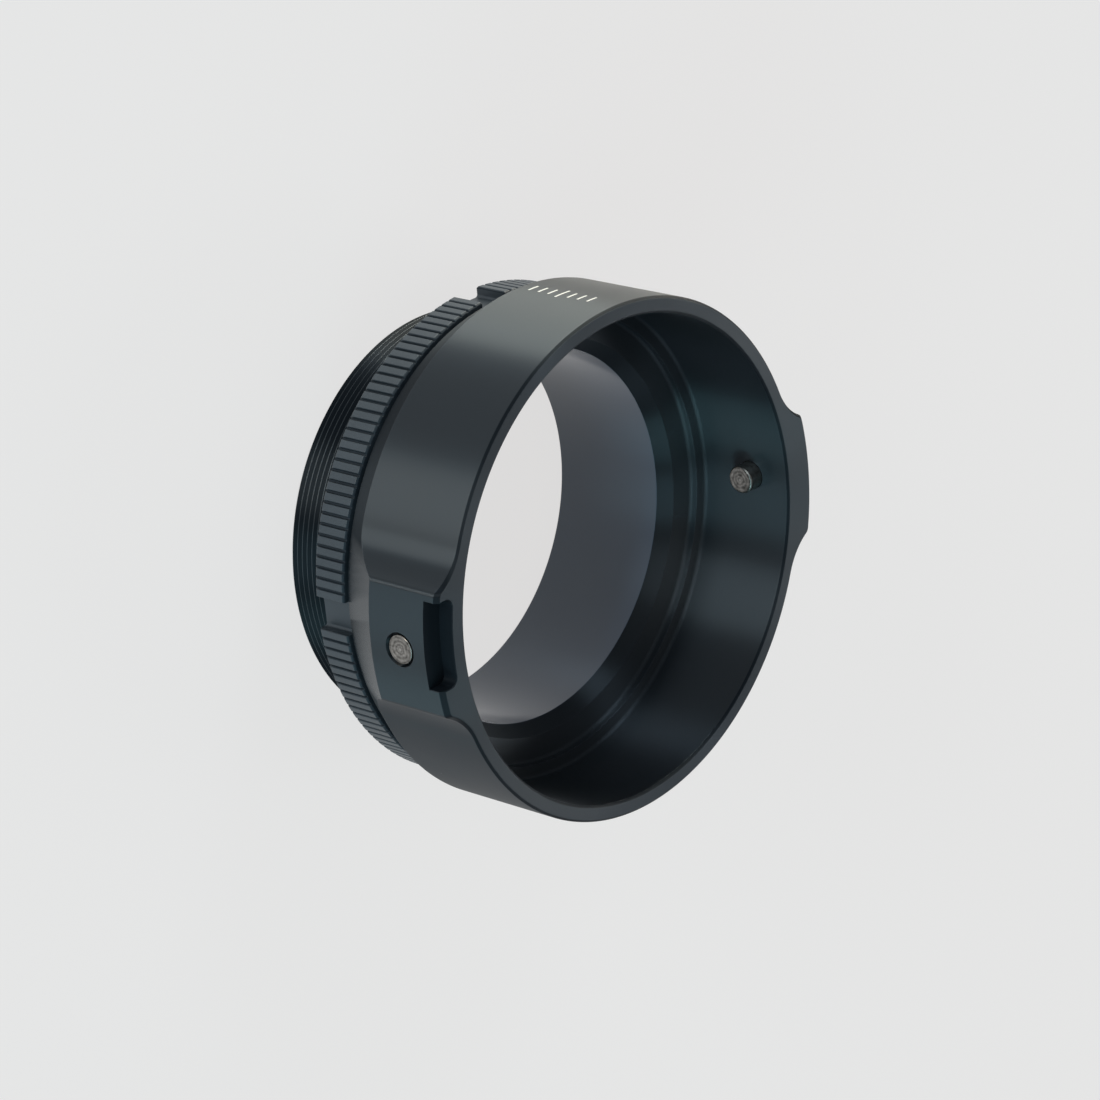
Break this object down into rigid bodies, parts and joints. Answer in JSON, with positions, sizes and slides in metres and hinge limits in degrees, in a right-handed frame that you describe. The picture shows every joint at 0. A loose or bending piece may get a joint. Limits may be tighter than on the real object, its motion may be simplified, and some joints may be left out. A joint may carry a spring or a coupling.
{
  "type": "lens adapter ring",
  "caption": "Black anodised lens adapter ring: stepped bayonet socket with cross pins in side pads, a threaded rear neck and a knurled lock ring that turns on the neck.",
  "frame": {"origin": "centre of the rear end face, which the ring stands on", "axes": "+Z along the optical axis towards the socket's mouth, +X through the two pads and their pins"},
  "size_m": [0.0868, 0.08, 0.04],
  "materials": {
    "black_anodised": "satin black anodised, fine turned",
    "knurled_anodised": "satin black anodised, straight knurled",
    "pin_steel": "turned bright steel"
  },
  "bodies": {
    "body": {"adapter_body": "black_anodised", "bayonet_pin_left": "pin_steel", "bayonet_pin_right": "pin_steel"},
    "ring": {"lock_ring": "knurled_anodised"}
  },
  "joints": [
    {"name": "lock_ring_turn", "type": "hinge", "parent": "body", "child": "ring", "pos_m": [0, 0, 0.0138], "axis": [0, 0, 1], "continuous": true}
  ]
}
